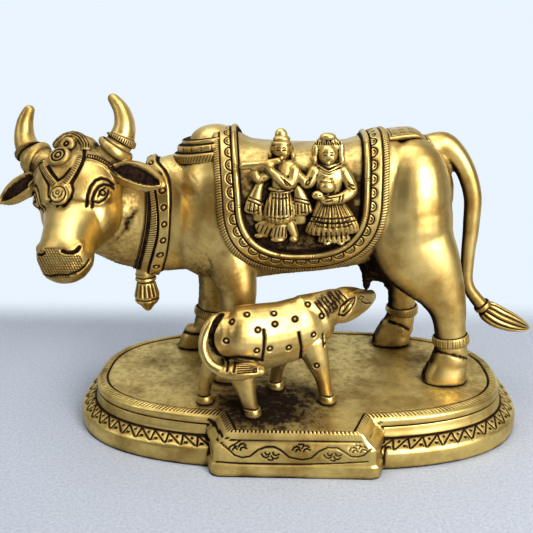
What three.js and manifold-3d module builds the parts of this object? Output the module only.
// A small cast brass figurine: a standing cow with a saddle cloth, her calf reaching for the udder,
// and the stepped oval base that both stand on. Millimetres, +Z up, the cow faces -X.

import * as THREE from "three";
import { mergeVertices } from "three/addons/utils/BufferGeometryUtils.js";
import Module from "manifold-3d";

const wasm = await Module();
wasm.setup();

// Driving dimensions of the base
const BASE_HALF_LENGTH = 93.5;
const BASE_HALF_DEPTH = 48.7;
const BASE_POWER = 2.6;
const BASE_HEIGHT = 18.5;
const LEDGE_OUTER_Z = 8.3;
const LEDGE_INNER_Z = 9.9;
const GROOVE_Z = 14.4;
const RIM_WIDTH = 3.3;
const PLATE_DROP = 0.5;
const BAY_HALF_WIDTH = 31.5;
const BAY_FRONT_HALF_WIDTH = 25.3;
const BAY_FRONT = -51.2;
const BAY_ROOT = -36;
const BAY_FRONT_SHARE = 0.35;
const RIM_INSET = 7.5;
const CUT_OVER = 2;
const SCROLL_OUTSET = 5;
const SCROLL_HALF = 25;
const SCROLL_WAVES = 3;
const SCROLL_Z = 9;
const SCROLL_SWING = 2;
const SCROLL_RADIUS = 0.55;
const OVAL_SIDES = 34;

// Driving dimensions of the cow
const MIDPLANE = 8;
const SADDLE_MIDDLE = 2.5;
const SADDLE_HALF_WIDTH = 33;
const SADDLE_BORDER = 10.2;
const BORDER_PROUD = 1.9;
const BEAD_PROUD = 2.6;
const BORDER_ROOT = -1.6;
const SADDLE_BOTTOM = 65;
const SADDLE_SPRING = 97;
const SADDLE_POWER = 2.45;
const U_STEPS = 8;
const BEAD_WIDTH = 2.4;
const SCALLOP_PITCH = 5.4;
const SCALLOP_RADIUS = 2.3;
const SCALLOP_RISE = 1.6;
const SCALLOP_INSET = 6.2;
const STRAP_TOP = 116;
const RELIEF_BACK = -9.5;
const ROSETTE_Z = 98;
const PETAL_RADII = [10, 13.5];
const HUMP_X = -33;
const HUMP_FOOT_Z = 112.4;
const HUMP_HALF_LENGTH = 15.6;
const HUMP_HALF_WIDTH = 14.6;
const HUMP_LEAN = -7;
const RUMP_STRIP_FROM = 36;
const RUMP_STRIP_TO = 53;
const RUMP_STRIP_PROUD = 0.7;
const COLLAR_LEAN = 12;
const COLLAR_MIDDLE_Z = 85;
const COLLAR_PROFILE = [[2.08, -1.6], [2.08, 0.9], [1.52, 0.9], [1.52, 1.9], [1.14, 1.9], [1.14, -1.6]];
const NECK_PITCH = 11;
const PENDANT_X = -65;
const PENDANT_Y = 5.5;
const ANKLET_PROUD = 1.3;
const ANKLET_MIDDLE_PROUD = 0.5;
const ANKLET_RING_SHARE = 0.28;
const SOLE_SLOPE = 0.12;
const TOE_NOTCH = 2.2;
const HEAD_TURN = 82.6;
const HEAD_PITCH = 56.5;
const HEAD_ROLL = 7;
const BROW = [-87.8, -18, 113.4];

// Clear gap between pieces that stand on or touch each other, and the height of every sole
const GAP = 0.3;
const SOLE_Z = BASE_HEIGHT - PLATE_DROP + GAP;
const CALF_HOOF_HEIGHT = 3.6;

const Y_AXIS = new THREE.Vector3(0, 1, 0);
const STRIP_ACROSS = new THREE.Vector3(0.31, 0.9, 0.3).normalize();

function vector(values) {
  return new THREE.Vector3(values[0], values[1], values[2]);
}

// The space that a closed surface encloses, below zero when it is inside out
function enclosedVolume(positions, index) {
  const a = new THREE.Vector3();
  const b = new THREE.Vector3();
  const c = new THREE.Vector3();
  let volume = 0;
  for (let i = 0; i < index.length; i += 3) {
    a.fromArray(positions, 3 * index[i]);
    b.fromArray(positions, 3 * index[i + 1]);
    c.fromArray(positions, 3 * index[i + 2]);
    volume += a.dot(b.cross(c)) / 6;
  }
  return volume;
}

// A closed geometry as a solid for joining and cutting
function solid(geometry) {
  let bare = geometry.clone();
  bare.deleteAttribute("normal");
  bare.deleteAttribute("uv");
  bare = mergeVertices(bare, 1e-4);
  const vertProperties = new Float32Array(bare.attributes.position.array);
  const triVerts = new Uint32Array(bare.index.array);
  if (enclosedVolume(vertProperties, triVerts) < 0) {
    for (let i = 0; i < triVerts.length; i += 3) {
      [triVerts[i], triVerts[i + 1]] = [triVerts[i + 1], triVerts[i]];
    }
  }
  return new wasm.Manifold(new wasm.Mesh({ numProp: 3, vertProperties, triVerts }));
}

function joined(solids) {
  let whole = solids[0];
  for (const piece of solids.slice(1)) {
    whole = whole.add(piece);
  }
  return whole;
}

// One point of a superellipse at an angle, for half sizes across and up
function roundPoint(angle, across, up, power, upperPower = power) {
  const c = Math.cos(angle);
  const s = Math.sin(angle);
  const bend = 2 / (s > 0 ? upperPower : power);
  return [across * Math.sign(c) * Math.abs(c) ** bend, up * Math.sign(s) * Math.abs(s) ** bend];
}

// A closed skin over a row of rings with the same number of points, each end closed by a fan
function skin(rings) {
  const sides = rings[0].length;
  const positions = [];
  for (const ring of rings) {
    for (const point of ring) {
      positions.push(point.x, point.y, point.z);
    }
  }
  for (const ring of [rings[0], rings[rings.length - 1]]) {
    const middle = new THREE.Vector3();
    ring.forEach((point) => middle.addScaledVector(point, 1 / sides));
    positions.push(middle.x, middle.y, middle.z);
  }
  const index = [];
  const firstEnd = rings.length * sides;
  const lastRing = (rings.length - 1) * sides;
  for (let k = 0; k < sides; k += 1) {
    const next = (k + 1) % sides;
    for (let row = 0; row < rings.length - 1; row += 1) {
      const low = row * sides;
      const high = low + sides;
      index.push(low + k, low + next, high + next, low + k, high + next, high + k);
    }
    index.push(firstEnd, next, k);
    index.push(firstEnd + 1, lastRing + k, lastRing + next);
  }
  const geometry = new THREE.BufferGeometry();
  geometry.setAttribute("position", new THREE.Float32BufferAttribute(positions, 3));
  geometry.setIndex(index);
  return solid(geometry);
}

// A closed hoop: rings that run the long way round, each joined to the next and the last to the first
function hoop(rings) {
  const count = rings[0].length;
  const positions = rings.flat().flatMap((point) => point.toArray());
  const index = [];
  for (let row = 0; row < rings.length; row += 1) {
    const low = row * count;
    const high = ((row + 1) % rings.length) * count;
    for (let k = 0; k < count; k += 1) {
      const next = (k + 1) % count;
      index.push(low + k, low + next, high + next, low + k, high + next, high + k);
    }
  }
  const geometry = new THREE.BufferGeometry();
  geometry.setAttribute("position", new THREE.Float32BufferAttribute(positions, 3));
  geometry.setIndex(index);
  return solid(geometry);
}

// A limb is a row of stations [x, y, z, half width across, half width the other way]
function limb(stations, options = {}) {
  return {
    spine: new THREE.CatmullRomCurve3(stations.map(vector), false, "centripetal"),
    sizes: new THREE.CatmullRomCurve3(stations.map((s) => vector([s[3], s[4], 0]))),
    last: stations.length - 1,
    across: options.across ?? Y_AXIS,
    sides: options.sides ?? 12,
    power: options.power ?? 2,
    upperPower: options.upperPower ?? options.power ?? 2,
    caps: options.caps ?? 1,
    flute: options.flute ?? 0,
    bands: options.bands ?? [],
    cup: options.cup ?? 1,
  };
}

// One ring round a limb at station number s, pushed along and scaled for round ends
function limbRing(shape, s, proud = 0, shift = 0, scale = 1) {
  const u = THREE.MathUtils.clamp(s / shape.last, 0, 1);
  const centre = shape.spine.getPoint(u);
  const tangent = shape.spine.getTangent(u);
  const size = shape.sizes.getPoint(u);
  const side = shape.across.clone().addScaledVector(tangent, -shape.across.dot(tangent)).normalize();
  const up = tangent.clone().cross(side);
  centre.addScaledVector(tangent, shift * Math.min(size.x, size.y));
  const ring = [];
  for (let k = 0; k < shape.sides; k += 1) {
    const angle = ((k + 0.5) * 2 * Math.PI) / shape.sides;
    const full = k % 2 === 0 ? scale : scale * (1 - shape.flute);
    const across = (size.x + proud) * full;
    const [a, b] = roundPoint(angle, across, (size.y + proud) * full, shape.power, shape.upperPower);
    ring.push(centre.clone().addScaledVector(side, a).addScaledVector(up, b > 0 ? b * shape.cup : b));
  }
  return ring;
}

// The whole limb with the bands round it, each a profile of [station number, height] steps;
// its ends are flat, or rounded by one or two smaller rings
function grown(shape, proud = 0) {
  const roundings = [[], [[0.7, 0.6]], [[0.85, 0.5], [0.5, 0.85]]][shape.caps];
  const rings = roundings.map(([shift, scale]) => limbRing(shape, 0, proud, -shift, scale));
  const steps = shape.bands.flat();
  for (let station = 0; station <= shape.last; station += 1) {
    if (!shape.bands.some((band) => station >= band[0][0] && station <= band[band.length - 1][0])) {
      steps.push([station, 0]);
    }
  }
  steps.sort((a, b) => a[0] - b[0]);
  steps.forEach(([at, height]) => rings.push(limbRing(shape, at, proud + height)));
  for (const [shift, scale] of [...roundings].reverse()) {
    rings.push(limbRing(shape, shape.last, proud, shift, scale));
  }
  return skin(rings);
}

// A thin round strip through a few points, tapering evenly
function strip(points, startRadius, endRadius, sides = 5) {
  const count = points.length - 1;
  const stations = points.map((p, i) => {
    const radius = startRadius + ((endRadius - startRadius) * i) / count;
    return [...p, radius, radius];
  });
  return grown(limb(stations, { sides, caps: 0, across: STRIP_ACROSS }));
}

// An egg shape at a place, with its three half sizes and a tilt in the upright plane
function egg(place, sizes, tilt = 0, across = 8, down = 6) {
  const geometry = new THREE.SphereGeometry(1, across, down);
  geometry.scale(sizes[0], sizes[1], sizes[2]);
  geometry.rotateY(THREE.MathUtils.degToRad(tilt));
  geometry.translate(place[0], place[1], place[2]);
  return solid(geometry);
}

// A turned shape from [radius, height] pairs, placed by a matrix or a point
function turned(profile, place, segments = 12) {
  const outline = profile.map(([radius, height]) => new THREE.Vector2(radius, height));
  const geometry = new THREE.LatheGeometry(outline, segments);
  geometry.rotateX(Math.PI / 2);
  if (place.isMatrix4) {
    geometry.applyMatrix4(place);
  } else {
    geometry.translate(place[0], place[1], place[2]);
  }
  return solid(geometry);
}

// Base: stepped oval with a bay in front

function ovalRing(inset, z) {
  const ring = [];
  for (let k = 0; k < OVAL_SIDES; k += 1) {
    const angle = (k * 2 * Math.PI) / OVAL_SIDES;
    const [x, y] = roundPoint(angle, BASE_HALF_LENGTH - inset, BASE_HALF_DEPTH - inset, BASE_POWER);
    ring.push(new THREE.Vector3(x, y, z));
  }
  return ring;
}

// The bay's outline: straight front, slanting sides and a small round at each front corner
function bayRing(outset, z) {
  const half = BAY_FRONT_HALF_WIDTH + outset;
  const root = BAY_HALF_WIDTH + outset;
  const front = BAY_FRONT - BAY_FRONT_SHARE * outset;
  const round = 0.6 + 0.25 * outset;
  const left = [
    [-root, BAY_ROOT],
    [-half - 0.45 * round, front + 1.6 * round],
    [-half + 0.1 * round, front + 0.4 * round],
    [-half + 1.2 * round, front],
  ];
  const right = left.map(([x, y]) => [-x, y]).reverse();
  return [...left, ...right].map(([x, y]) => new THREE.Vector3(x, y, z));
}

function makeBase() {
  const levels = [
    [0, 0], [1.2, LEDGE_OUTER_Z], [5.5, LEDGE_INNER_Z], [6.9, GROOVE_Z], [RIM_INSET, BASE_HEIGHT],
  ];
  const bayLevels = [
    [6.2, 0], [6.0, 5.2], [5.2, 5.6], [4.9, 12.2],
    [4.2, 12.8], [2.6, 14.2], [0.6, BASE_HEIGHT - 0.4], [0.1, BASE_HEIGHT],
  ];
  const oval = skin(levels.map(([inset, z]) => ovalRing(inset, z)));
  const bay = skin(bayLevels.map(([outset, z]) => bayRing(outset, z)));
  const floorZ = BASE_HEIGHT - PLATE_DROP;
  const panZ = [floorZ, BASE_HEIGHT + CUT_OVER];
  const pan = skin(panZ.map((z) => ovalRing(RIM_INSET + RIM_WIDTH, z)));
  const bayPan = skin(panZ.map((z) => bayRing(-RIM_WIDTH, z)));
  return oval.add(bay).subtract(pan.add(bayPan)).add(makeScroll());
}

// The vine on the front of the bay: one wave with a leaf in each hollow
function makeScroll() {
  const frontY = BAY_FRONT - BAY_FRONT_SHARE * SCROLL_OUTSET;
  const points = [];
  for (let k = 0; k <= 12; k += 1) {
    const t = k / 12;
    const swing = SCROLL_SWING * Math.sin(2 * Math.PI * SCROLL_WAVES * t);
    points.push([SCROLL_HALF * (2 * t - 1), frontY, SCROLL_Z + swing]);
  }
  const pieces = [strip(points, SCROLL_RADIUS, SCROLL_RADIUS, 4)];
  for (let k = 0; k < 2 * SCROLL_WAVES; k += 1) {
    const x = SCROLL_HALF * ((k + 0.5) / SCROLL_WAVES - 1);
    const side = k % 2 === 0 ? -1 : 1;
    const leaf = [[x - 1.6, frontY, SCROLL_Z + side * 2.2], [x + 1.2, frontY, SCROLL_Z + side * 0.2]];
    pieces.push(strip(leaf, 0.5 * SCROLL_RADIUS, 1.1 * SCROLL_RADIUS, 4));
  }
  return joined(pieces);
}

// Cow: trunk and the surface function that the carving is placed by

const TRUNK = [
  [-47, MIDPLANE, 87.5, 15, 21],
  [-40, MIDPLANE, 86.5, 19.5, 26.5],
  [-28, MIDPLANE, 86.2, 21.8, 28.4],
  [-10, MIDPLANE, 87.2, 21.5, 26.8],
  [6, MIDPLANE, 88, 21, 26],
  [21, MIDPLANE, 90, 20.8, 25.6],
  [34, MIDPLANE, 93.8, 20.3, 25.6],
  [46, MIDPLANE, 97.4, 18.5, 23.6],
  [51, MIDPLANE, 99, 15.5, 20],
];
const BELLY_POWER = 2.15;
const BACK_POWER = 3.0;
const trunk = limb(TRUNK, { sides: 16, power: BELLY_POWER, upperPower: BACK_POWER, caps: 2 });

// The trunk's centre height and half sizes at a place along it, by straight lines between stations
function trunkAt(x) {
  let k = 0;
  while (k < TRUNK.length - 2 && x > TRUNK[k + 1][0]) {
    k += 1;
  }
  const t = (x - TRUNK[k][0]) / (TRUNK[k + 1][0] - TRUNK[k][0]);
  const mix = (i) => TRUNK[k][i] + t * (TRUNK[k + 1][i] - TRUNK[k][i]);
  return { z: mix(2), across: mix(3), up: mix(4) };
}

// The Y of the trunk's flank at a place, on the near side (-1) or the far side (1)
function flankY(x, z, side = -1, proud = 0) {
  const at = trunkAt(x);
  const rise = Math.min(0.98, Math.abs((z - at.z) / (at.up + proud)));
  const power = z > at.z ? BACK_POWER : BELLY_POWER;
  return MIDPLANE + side * (at.across + proud) * (1 - rise ** power) ** (1 / power);
}

const NECK = [
  [-38, MIDPLANE, 87.5, 18, 25],
  [-49, MIDPLANE, 86.5, 15.8, 24.6],
  [-60, 6.5, 84.6, 13.6, 23],
  [-70, 4, 85.4, 12.6, 20.6],
  [-78, -0.5, 88.5, 12, 17.5],
  [-84, -6, 92.5, 11, 15],
];
const neck = limb(NECK, { sides: 12, power: 2.1, caps: 0 });

const NEAR_HIND = [
  [44, -1, 98, 11, 15],
  [45.2, -3.5, 86, 10.5, 16],
  [47, -6, 76, 9.5, 17],
  [53, -7.5, 67, 8, 14.4],
  [58.8, -8, 58, 6.6, 10.1],
  [62.2, -8.4, 50, 5.7, 7.6],
  [63.6, -8.6, 42, 5.3, 6.4],
  [64.6, -8.8, 34, 5.4, 6.6],
  [64.6, -8.8, 28, 6.2, 8],
];
const FAR_HIND = [
  [43, 17, 98, 11, 15],
  [43, 19.5, 86, 10.5, 16],
  [43, 21.5, 76, 9.5, 15],
  [44.5, 23, 67, 8, 12],
  [47.5, 24.5, 58, 6.8, 9],
  [49, 25.5, 50, 5.8, 7.2],
  [49.2, 26.2, 42, 5.3, 6.4],
  [49.5, 27, 34, 5.4, 6.4],
  [48, 27.6, 26, 6, 7.6],
];
const NEAR_FORE = [
  [-29, 1, 90, 10, 12],
  [-27.5, -2, 78, 10.5, 11.5],
  [-25.5, -6, 68, 8.6, 9.6],
  [-23.6, -8.6, 58, 6.6, 7.9],
  [-23.8, -9, 48, 5.6, 6.8],
  [-24.6, -9.2, 38, 5.2, 6.1],
  [-26, -9.2, 25, 5.6, 6.2],
];
const FAR_FORE = [
  [-31, 15, 90, 10, 12],
  [-32, 18, 78, 10, 11.5],
  [-34.5, 21, 68, 8.6, 9.6],
  [-37, 22.5, 58, 6.8, 8],
  [-38, 23, 48, 5.7, 6.8],
  [-39.6, 23, 38, 5.3, 6.2],
  [-42.8, 23, 25, 5.5, 6.0],
];

// A cloven hoof: wide sole, slanting front, a notch at the toe, standing just above the plate
function hoof(centreX, centreY, length, width, heading, top) {
  const outline = (scale, shift, z) => {
    const ring = [];
    for (let k = 0; k < 9; k += 1) {
      const angle = (k * 2 * Math.PI) / 9;
      let [x, y] = roundPoint(angle, (length / 2) * scale, (width / 2) * scale, 2.4);
      if (k === 0) {
        x -= TOE_NOTCH * scale;
      }
      const turn = THREE.MathUtils.degToRad(heading);
      const alongX = Math.cos(turn) * (x + shift) - Math.sin(turn) * y;
      const alongY = Math.sin(turn) * (x + shift) + Math.cos(turn) * y;
      ring.push(new THREE.Vector3(centreX + alongX, centreY + alongY, z + SOLE_SLOPE * (x - length / 2)));
    }
    return ring;
  };
  const sole = outline(1, 0, 0).map((p) => new THREE.Vector3(p.x, p.y, SOLE_Z));
  return skin([sole, outline(0.96, -0.6, SOLE_Z + 3.5), outline(0.74, -2.4, top)]);
}

// An anklet as bands on a leg: two plain rings with a lower milled band between them
function anklet(from, to) {
  const ring = ANKLET_RING_SHARE * (to - from);
  return [
    [from, 0], [from, ANKLET_PROUD], [from + ring, ANKLET_PROUD],
    [(from + to) / 2, ANKLET_MIDDLE_PROUD],
    [to - ring, ANKLET_PROUD], [to, ANKLET_PROUD], [to, 0],
  ];
}

// Saddle cloth: a border that runs down both flanks in a deep U and over the back, as one closed loop
function saddleLoop(inset, proud) {
  const half = SADDLE_HALF_WIDTH - inset;
  const drop = SADDLE_SPRING - SADDLE_BOTTOM - inset;
  const flankCurve = (side) => {
    const curve = [];
    for (let k = 0; k <= U_STEPS; k += 1) {
      const [across, up] = roundPoint(Math.PI + (k * Math.PI) / U_STEPS, half, drop, SADDLE_POWER);
      const x = SADDLE_MIDDLE + across;
      const z = SADDLE_SPRING + up;
      curve.push(new THREE.Vector3(x, flankY(x, z, side, proud), z));
    }
    return curve;
  };
  const strap = (side) => {
    const x = SADDLE_MIDDLE + side * half;
    const at = trunkAt(x);
    return [142, 107, 73, 38].map((degrees) => {
      const angle = THREE.MathUtils.degToRad(degrees);
      const [y, z] = roundPoint(angle, at.across + proud, at.up + proud, BACK_POWER);
      return new THREE.Vector3(x, MIDPLANE + y, at.z + z);
    });
  };
  return [...flankCurve(-1), ...strap(1), ...flankCurve(1).reverse(), ...strap(-1).reverse()];
}

function saddleBorder() {
  const edge = SADDLE_BORDER - BEAD_WIDTH;
  const profile = [
    [0, BORDER_ROOT], [0, BORDER_PROUD], [edge, BORDER_PROUD],
    [edge, BEAD_PROUD], [SADDLE_BORDER, BEAD_PROUD], [SADDLE_BORDER, BORDER_ROOT],
  ];
  return hoop(profile.map(([inset, proud]) => saddleLoop(inset, proud)));
}

// Half round scallops along the near border, opening towards the field
function scallops() {
  const half = SADDLE_HALF_WIDTH - SCALLOP_INSET;
  const drop = SADDLE_SPRING - SADDLE_BOTTOM - SCALLOP_INSET;
  const path = new THREE.CurvePath();
  const points = [new THREE.Vector3(SADDLE_MIDDLE - half, STRAP_TOP, 0)];
  for (let k = 0; k <= 40; k += 1) {
    const [x, z] = roundPoint(Math.PI + (k * Math.PI) / 40, half, drop, SADDLE_POWER);
    points.push(new THREE.Vector3(SADDLE_MIDDLE + x, SADDLE_SPRING + z, 0));
  }
  points.push(new THREE.Vector3(SADDLE_MIDDLE + half, STRAP_TOP, 0));
  for (let k = 1; k < points.length; k += 1) {
    path.add(new THREE.LineCurve3(points[k - 1], points[k]));
  }
  const count = Math.round(path.getLength() / SCALLOP_PITCH);
  const pieces = [];
  for (let k = 0; k < count; k += 1) {
    const u = (k + 0.5) / count;
    const at = path.getPointAt(u);
    const ahead = path.getPointAt(Math.min(1, u + 0.01)).sub(path.getPointAt(Math.max(0, u - 0.01)));
    const scale = new THREE.ConeGeometry(SCALLOP_RADIUS, SCALLOP_RISE, 5);
    scale.rotateX(Math.PI);
    scale.rotateY(Math.atan2(-ahead.y, ahead.x));
    scale.translate(at.x, flankY(at.x, at.y, -1, BORDER_PROUD), at.y);
    pieces.push(solid(scale));
  }
  return joined(pieces);
}

// Relief figures on the near side; every form is set on the flank by its X and Z,
// and where the back curves away behind it, it reaches in to the flank
function pebble(x, z, halfX, halfZ, depth, tilt = 0) {
  const flank = flankY(x, z);
  const front = Math.min(flank, RELIEF_BACK) - depth;
  const back = flank + 1.5;
  return egg([x, (front + back) / 2, z], [halfX, (back - front) / 2, halfZ], tilt, 6, 4);
}

function rope(points, startRadius, endRadius, lift = 0.6, sides = 4) {
  const path = points.map(([x, z]) => [x, Math.min(flankY(x, z), RELIEF_BACK) - lift, z]);
  return strip(path, startRadius, endRadius, sides);
}

// A pleated skirt: one fan whose front is folded from the waist to the hem
function pleats(waist, hem, count, depth) {
  const rings = [waist, hem].map((edge, row) => {
    const swell = depth * (0.6 + 0.4 * row);
    const ring = [];
    for (let k = 0; k <= 2 * count; k += 1) {
      const t = k / count - 1;
      const x = edge.x + edge.half * t;
      const z = edge.z + 1.4 * row * t * t;
      const fold = (k % 2 === 1 ? swell : swell * 0.45) * Math.sqrt(1.1 - t * t);
      ring.push(new THREE.Vector3(x, Math.min(flankY(x, z), RELIEF_BACK) - fold, z));
    }
    ring.push(new THREE.Vector3(edge.x + edge.half, MIDPLANE - 8, edge.z));
    ring.push(new THREE.Vector3(edge.x - edge.half, MIDPLANE - 8, edge.z));
    return ring;
  });
  return skin(rings);
}

function flutePlayer() {
  return [
    pebble(-5.4, 116.2, 3.3, 3.8, 4.2),
    pebble(-5.0, 111.6, 2.4, 3.2, 3.4),
    pebble(-5.2, 120.6, 2.3, 2.8, 3.0),
    pebble(-3.6, 108.0, 4.4, 4.8, 3.2, 8),
    pebble(-5.0, 102.2, 4.2, 2.6, 2.6),
    rope([[-20.4, 110.4], [-5, 112.8]], 1.2, 1.2, 2.4),
    rope([[-0.4, 109], [-2.2, 103.2], [-9.6, 109.6]], 1.8, 1.3, 3.0),
    rope([[-8, 109.4], [-14.6, 105], [-15.4, 109.4]], 1.6, 1.3, 1.8),
    pleats({ x: -5.4, z: 100.8, half: 4 }, { x: -6, z: 89.6, half: 5.8 }, 4, 3.6),
    rope([[-15.2, 103], [-17.6, 97.4], [-16.4, 91]], 1.3, 2.1, 0.8),
    rope([[-0.2, 102.6], [2.6, 96.6], [3.4, 90.6]], 1.3, 2.2, 0.8),
    rope([[-2.4, 90.6], [-0.8, 86.4], [-0.2, 82.2]], 2.0, 1.4, 1.0),
    rope([[-6.4, 90.4], [-9.4, 87.6], [-13, 85.2]], 2.2, 1.7, 1.8),
    pebble(-7, 83.2, 3.4, 2.0, 2.2, 6),
  ];
}

function lady() {
  return [
    pebble(12.1, 114.2, 3.7, 4.1, 4.4),
    pebble(12.2, 109.8, 2.4, 3.0, 3.6),
    pebble(12.1, 117.6, 4.0, 3.0, 3.4),
    pebble(12.8, 105.4, 4.8, 4.8, 3.4),
    rope([[8.6, 108.6], [5.4, 102.8], [1.2, 106.4]], 1.7, 1.4, 0.8),
    rope([[18.2, 108.4], [21.4, 101.4], [14.2, 97.8]], 1.8, 1.4, 2.0),
    pebble(11.9, 102.6, 2.6, 2.6, 5.2),
    pebble(12.2, 97.6, 2.6, 2.0, 3.8),
    pleats({ x: 13.4, z: 98, half: 4.6 }, { x: 14.2, z: 84.6, half: 10.2 }, 6, 4.4),
    pleats({ x: 14.6, z: 86, half: 5.6 }, { x: 15, z: 80.6, half: 6.4 }, 3, 2.2),
  ];
}

// A plain rosette on the far side of the cloth: a disc with six petals and a round centre
function rosette() {
  const ring = (scale, lift) => {
    const points = [];
    for (let k = 0; k < 12; k += 1) {
      const angle = (k * Math.PI) / 6;
      const radius = scale * PETAL_RADII[k % 2];
      const x = SADDLE_MIDDLE + radius * Math.cos(angle);
      const z = ROSETTE_Z + radius * Math.sin(angle);
      points.push(new THREE.Vector3(x, flankY(x, z, 1) + lift, z));
    }
    return points;
  };
  return [
    skin([ring(1, -3), ring(1, 0.9), ring(0.5, 1.6)]),
    egg([SADDLE_MIDDLE, flankY(SADDLE_MIDDLE, ROSETTE_Z, 1) + 1, ROSETTE_Z], [3.8, 2.4, 3.8], 0, 6, 4),
  ];
}

// Hump: a dome that rises out of three ribbons laid round its foot
function hump() {
  const profile = [
    [0, -5], [1, -4.4], [1, -1.2], [0.91, -1], [0.91, 1.6], [0.83, 1.8], [0.81, 4.2], [0.72, 4.6],
    [0.6, 8.8], [0.32, 11.5], [0, 12.2],
  ];
  const place = new THREE.Matrix4().makeRotationY(THREE.MathUtils.degToRad(HUMP_LEAN));
  place.multiply(new THREE.Matrix4().makeScale(HUMP_HALF_LENGTH, HUMP_HALF_WIDTH, 1));
  place.setPosition(HUMP_X, MIDPLANE, HUMP_FOOT_Z);
  return [turned(profile, place, 10)];
}

// Head frame: X across towards the left horn, Y up the face, Z out of the forehead
function headMatrix() {
  const turn = THREE.MathUtils.degToRad(HEAD_TURN);
  const pitch = THREE.MathUtils.degToRad(HEAD_PITCH);
  const ahead = new THREE.Vector3(-Math.cos(turn), -Math.sin(turn), 0);
  const left = new THREE.Vector3(Math.sin(turn), -Math.cos(turn), 0);
  const upFace = ahead.clone().multiplyScalar(-Math.cos(pitch));
  upFace.z = Math.sin(pitch);
  const out = left.clone().cross(upFace);
  const roll = new THREE.Matrix4().makeRotationAxis(ahead, THREE.MathUtils.degToRad(HEAD_ROLL));
  const matrix = new THREE.Matrix4().makeBasis(left, upFace, out);
  matrix.premultiply(roll);
  matrix.setPosition(BROW[0], BROW[1], BROW[2]);
  return matrix;
}

const HEAD = headMatrix();

function onHead(point) {
  return vector(point).applyMatrix4(HEAD).toArray();
}

// A limb whose stations are given in the head frame
function headLimb(stations, across, options = {}) {
  const turnedStations = stations.map((s) => [...onHead(s), s[3], s[4]]);
  return limb(turnedStations, { ...options, across: vector(across).transformDirection(HEAD) });
}

const SKULL = [
  [0, 9, -12, 9, 6.6],
  [0, 5, -13, 14, 10.4],
  [0, 0, -13.5, 16.8, 12.4],
  [0, -6, -14.4, 17.6, 13.6],
  [0, -12, -15.6, 16.2, 14.8],
  [0, -18.5, -15.6, 13.4, 14.2],
  [0, -25, -12.4, 10.8, 11.4],
  [0, -31, -9.4, 9.9, 9.4],
  [0, -35.5, -8.2, 10.6, 8.6],
  [0, -38.5, -8.6, 9.4, 7],
];

function horn(side) {
  const spread = side > 0 ? 0 : 1.4;
  const stations = [
    [side * 14.6, 6.2, -11.6, 5.5, 5.5],
    [side * (19.6 + spread), 11.6, -10, 4.6, 4.6],
    [side * (20.8 + spread), 17, -8.6, 3.7, 3.7],
    [side * (19.8 + spread), 22.6, -6.6, 2.8, 2.8],
    [side * (17 + spread), 27.4, -4.4, 1.3, 1.3],
  ];
  const ringsAtRoot = [[0, 0], [0, 1.9], [0.3, 1.9], [0.36, 0.3], [0.46, 1.3], [0.85, 1.3], [0.85, 0]];
  return grown(headLimb(stations, [0, 0, 1], { sides: 7, bands: [ringsAtRoot] }));
}

// An ear: a leaf that is cupped towards the front
function ear(side) {
  const reach = side > 0 ? 1 : 0.93;
  const blade = headLimb([
    [side * 15, -1, -12.4, 3.4, 3],
    [side * 20 * reach, -1.6, -12, 4.6, 3.4],
    [side * 26 * reach, -3.6, -12, 5.4, 3],
    [side * 32 * reach, -6.4, -12.2, 4.2, 2.2],
    [side * 37 * reach, -9, -12.8, 1.6, 0.9],
  ], [0, -side, 0], { sides: 7, cup: -0.35 });
  return grown(blade);
}

// A raised round on the face, its axis out of the forehead
function boss(x, y, z, radiusX, radiusY, height, tiers = 1) {
  const profile = [[0, -3], [1, -3], [1, height * 0.6]];
  if (tiers > 1) {
    profile.push([0.6, height * 0.7], [0.5, height * 1.2]);
  }
  profile.push([0, height * 1.3]);
  const place = HEAD.clone();
  place.multiply(new THREE.Matrix4().makeTranslation(x, y, z));
  place.multiply(new THREE.Matrix4().makeScale(radiusX, radiusY, 1));
  return turned(profile, place, 6);
}

function faceStrip(points, startRadius, endRadius) {
  return strip(points.map(onHead), startRadius, endRadius, 3);
}

function headDress() {
  return [
    boss(0, 0, -1.2, 4.6, 4.0, 2.2, 2),
    boss(0, -14, -1.2, 4.2, 4.4, 1.8, 1),
    faceStrip([[-9.5, -1, -3.2], [-2.4, -9.6, -0.8]], 1.5, 1.5),
    faceStrip([[9.5, 3, -3.2], [2.4, -9.6, -0.8]], 1.5, 1.5),
    faceStrip([[9.6, 1.6, -3.6], [14, -1.4, -8], [17, -4.4, -13]], 1.3, 1.2),
    faceStrip([[-9.6, 1.6, -3.6], [-17, -4.4, -13]], 1.6, 1.3),
    faceStrip([[-8, 5, -5], [-4, 9.6, -4.6], [6, 11.5, -6.4], [9.6, 4, -4.4]], 1.8, 1.8),
    boss(2, 6.8, -4.6, 3.6, 3.4, 3.4, 1),
  ];
}

function eye(side) {
  const brow = [[9.4, -14.6, -5], [10.2, -9.6, -4.6], [13, -7.2, -7.4], [16, -8.6, -11.4]];
  const place = HEAD.clone();
  place.multiply(new THREE.Matrix4().makeTranslation(side * 12.6, -11.6, -8.2));
  place.multiply(new THREE.Matrix4().makeRotationY(THREE.MathUtils.degToRad(side * 50)));
  place.multiply(new THREE.Matrix4().makeScale(3.6, 2.3, 1.6));
  const ball = new THREE.SphereGeometry(1, 6, 4);
  ball.applyMatrix4(place);
  return [faceStrip(brow.map(([x, y, z]) => [side * x, y, z]), 0.8, 0.6), solid(ball)];
}

// Muzzle: nostrils are cut in and the mouth is a shallow groove round the front
function nostril(side) {
  const slit = [[3.6, -36.4, 0.6], [6.4, -36.8, 0.2], [8.8, -35.4, -2.4]];
  return faceStrip(slit.map(([x, y, z]) => [side * x, y, z]), 0.8, 0.8);
}

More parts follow.
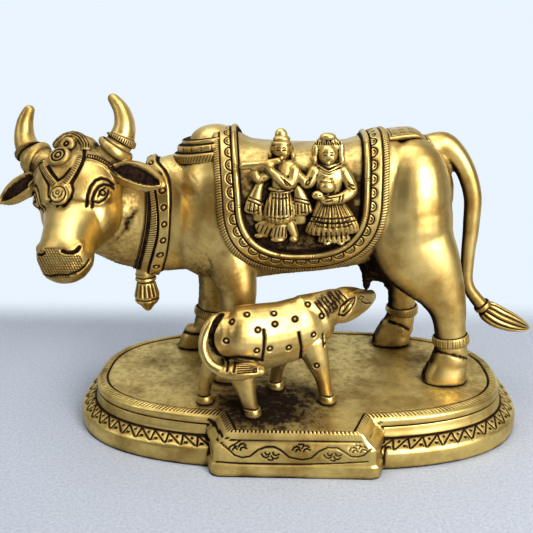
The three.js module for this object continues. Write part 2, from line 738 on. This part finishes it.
function mouth() {
  const line = [[-9.4, -40, -9], [-7, -44.2, -7], [0, -47, -6.4], [7, -44.2, -7], [9.4, -40, -9]];
  return faceStrip([...line, [10.6, -36, -11.6]], 0.7, 0.7);
}

function makeHead() {
  const skull = grown(headLimb(SKULL, [1, 0, 0], { sides: 11, power: 2.2 }));
  const pieces = [skull, horn(1), horn(-1), ear(1), ear(-1), ...headDress(), ...eye(1), ...eye(-1)];
  return joined(pieces).subtract(joined([nostril(1), nostril(-1), mouth()]));
}

// Collar with its pendant: a slanting hoop round the neck, a milled strip in front and a raised one behind
function collarRing(station, proud) {
  const slope = Math.tan(THREE.MathUtils.degToRad(COLLAR_LEAN)) / NECK_PITCH;
  return limbRing(neck, station, proud).map((point, k) => {
    const leaning = station - slope * (point.z - COLLAR_MIDDLE_Z);
    return limbRing(neck, leaning, proud)[k];
  });
}

function makeCollar() {
  const pendant = [
    [0, 42.8], [2.2, 45.4], [5.4, 48.2], [5.9, 50.4], [4.4, 55], [3.7, 56.6], [5, 57.4],
    [5, 59.6], [4.2, 60.6], [4.2, 66], [0, 66],
  ];
  const ring = hoop(COLLAR_PROFILE.map(([station, proud]) => collarRing(station, proud)));
  return ring.add(turned(pendant, [PENDANT_X, PENDANT_Y, 0], 8));
}

// Tail: out from the rump, down past the hock, ending in a tuft
const TAIL = [
  [54, MIDPLANE, 114, 4.8, 5.2],
  [60, MIDPLANE, 114.4, 4.4, 4.8],
  [67.4, MIDPLANE, 106.6, 3.8, 4.1],
  [72.4, MIDPLANE, 94, 3.5, 3.7],
  [73, MIDPLANE, 80, 3.2, 3.4],
  [72.8, MIDPLANE, 66, 2.7, 2.9],
  [74.2, MIDPLANE, 54, 2.5, 2.6],
  [82.6, MIDPLANE, 43, 3, 3.2],
];
const TUFT = [
  [82, MIDPLANE, 43.4, 2.8, 3.4],
  [88, MIDPLANE, 40, 4.2, 4.7],
  [94, MIDPLANE, 37.8, 3.8, 4.1],
  [101.4, MIDPLANE, 35, 1.2, 1.2],
];

function makeTail() {
  const tail = limb(TAIL, { sides: 7, caps: 0, bands: [[[6.7, 0], [6.72, 0.8], [6.94, 0.8], [6.96, 0]]] });
  const tuft = limb(TUFT, { sides: 8, flute: 0.2 });
  return joined([grown(tail), grown(tuft)]);
}

// Udder with its teats, the foremost near one where the calf drinks
function makeUdder() {
  const pieces = [egg([36, 5.5, 66], [9.5, 9.5, 8.6], 0, 8, 4)];
  for (const [x, y] of [[30, 1.5], [30.5, 10.5], [39, 2], [39, 10]]) {
    const teat = limb([[x, y, 62, 2.4, 2.4], [x, y, 56, 1.4, 1.4]], { sides: 5, caps: 0 });
    pieces.push(grown(teat));
  }
  return joined(pieces);
}

// Raised strip along the top of the rump, from the cloth to the root of the tail
function rumpStrip() {
  const slab = new THREE.BoxGeometry(RUMP_STRIP_TO - RUMP_STRIP_FROM, 15, 30);
  slab.translate((RUMP_STRIP_FROM + RUMP_STRIP_TO) / 2, MIDPLANE - 2, 115);
  return grown(trunk, RUMP_STRIP_PROUD).intersect(solid(slab));
}

function makeCow() {
  const body = [grown(trunk), grown(neck), ...hump()];
  const legs = [
    [NEAR_HIND, anklet(5.96, 6.92)], [FAR_HIND, anklet(6.32, 7.1)],
    [NEAR_FORE, anklet(5.04, 5.54)], [FAR_FORE, anklet(5.02, 5.54)],
  ];
  for (const [stations, band] of legs) {
    body.push(grown(limb(stations, { sides: 8, caps: 0, bands: [band] })));
  }
  const dress = [
    saddleBorder(),
    scallops(),
    ...flutePlayer(),
    ...lady(),
    ...rosette(),
    rumpStrip(),
    makeCollar(),
  ];
  const feet = [
    hoof(62.4, -8.6, 18.6, 14.5, 180, 28.5),
    hoof(44.8, 27, 18, 12.8, 180, 28),
    hoof(-28.6, -9, 15, 13, 180, 26.5),
    hoof(-48.4, 22.8, 16, 13, 180, 26.5),
  ];
  return joined([...body, ...dress, ...feet, makeHead(), makeTail(), makeUdder()]);
}

// Calf: stands at her near side, turned inwards, muzzle at the udder

const CALF_TRUNK = [
  [-26.4, -34.4, 49.2, 6.6, 8.4],
  [-22.4, -33.4, 48.8, 9, 11.8],
  [-14, -30.8, 48, 9.4, 12.6],
  [-5, -28, 48.4, 9, 12.2],
  [4, -25, 50, 8.4, 11.8],
  [9, -23.4, 51.2, 6.4, 9.4],
];
const CALF_NECK = [
  [3, -25.4, 53, 6.6, 9.4],
  [9.6, -22.4, 54.2, 5.8, 8.4],
  [15, -19.2, 55.4, 5, 7.4],
];
const CALF_HEAD = [
  [15, -19, 55.6, 4.8, 6.6],
  [19, -16, 55.4, 5.6, 7.2],
  [23.6, -12, 54.4, 5, 6.4],
  [27.6, -8, 53.8, 3.6, 4.4],
  [30.6, -4.6, 53.8, 2.9, 2.9],
];
const CALF_LEGS = [
  [
    [-20, -35.6, 44, 5.2, 7.4], [-20, -37.8, 36, 4, 5.8],
    [-18.6, -38.8, 29, 3, 3.8], [-16.6, -39, 22, 2.7, 2.9],
  ],
  [
    [-29, -32, 44, 4.6, 5.6], [-32, -30.8, 36, 3.4, 4.2],
    [-35, -30, 29, 2.7, 3], [-36.6, -29.6, 22, 2.5, 2.7],
  ],
  [
    [6, -28, 44, 4.8, 6.4], [8.8, -29, 36, 3.8, 4.6],
    [11, -28.8, 29, 2.8, 3.2], [12.4, -28.4, 22, 2.5, 2.7],
  ],
  [
    [0, -21.6, 44, 4.8, 6], [-4, -19.6, 36, 3.4, 4.2],
    [-6.8, -18.2, 29, 2.6, 2.8], [-8.4, -17.6, 22, 2.3, 2.5],
  ],
];
const CALF_TAIL = [
  [-27.6, -34.6, 58.6],
  [-32.2, -37.6, 54],
  [-33.2, -40, 47],
  [-31.4, -42, 41.6],
  [-26, -44, 38.8],
];
const CALF_TUFT = [
  [-26.6, -43.8, 38.9, 2.4, 2.6],
  [-22, -45, 39.6, 2.6, 3],
  [-16.4, -44.6, 40.2, 2.4, 2.8],
  [-12.4, -43.4, 39.6, 1.2, 1.4],
];

function calfHoof(x, y) {
  const topZ = SOLE_Z + CALF_HOOF_HEIGHT;
  return turned([[0, SOLE_Z], [3.3, SOLE_Z], [2.8, topZ], [0, topZ]], [x, y, 0], 6);
}

function makeCalf() {
  const inwards = new THREE.Vector3(-0.3, 0.95, 0).normalize();
  const collar = [[0.9, 0], [0.92, 0.9], [1.28, 0.9], [1.3, 0]];
  const neckShape = limb(CALF_NECK, { sides: 8, across: inwards, bands: [collar] });
  const pieces = [
    grown(limb(CALF_TRUNK, { sides: 10, across: inwards })),
    grown(neckShape),
    grown(limb(CALF_HEAD, { sides: 8, across: new THREE.Vector3(-0.6, 0.8, 0) })),
    egg([18.2, -21.4, 54.6], [3.4, 1.6, 5.2], 38, 6, 4),
    egg([25.6, -15, 56.4], [1.3, 1.2, 1], 0, 5, 4),
    grown(limb(CALF_TUFT, { sides: 6, flute: 0.12 })),
    strip(CALF_TAIL, 2.2, 2.2, 5),
  ];
  for (const leg of CALF_LEGS) {
    const [x, y] = leg[leg.length - 1];
    pieces.push(grown(limb(leg, { sides: 6, caps: 0 })), calfHoof(x + 0.4, y));
  }
  return joined(pieces);
}

function mesh(name, shape, colour, roughness) {
  const cut = shape.getMesh();
  const geometry = new THREE.BufferGeometry();
  geometry.setAttribute("position", new THREE.BufferAttribute(new Float32Array(cut.vertProperties), 3));
  geometry.setIndex(new THREE.BufferAttribute(new Uint32Array(cut.triVerts), 1));
  geometry.computeVertexNormals();
  const metal = new THREE.MeshStandardMaterial({ color: colour, roughness, metalness: 1 });
  const piece = new THREE.Mesh(geometry, metal);
  piece.name = name;
  return piece;
}

const group = new THREE.Group();
group.add(mesh("base", makeBase(), 0xa5874e, 0.42));
group.add(mesh("cow", makeCow(), 0xb8964f, 0.3));
group.add(mesh("calf", makeCalf(), 0xae8d4c, 0.34));

export default group;
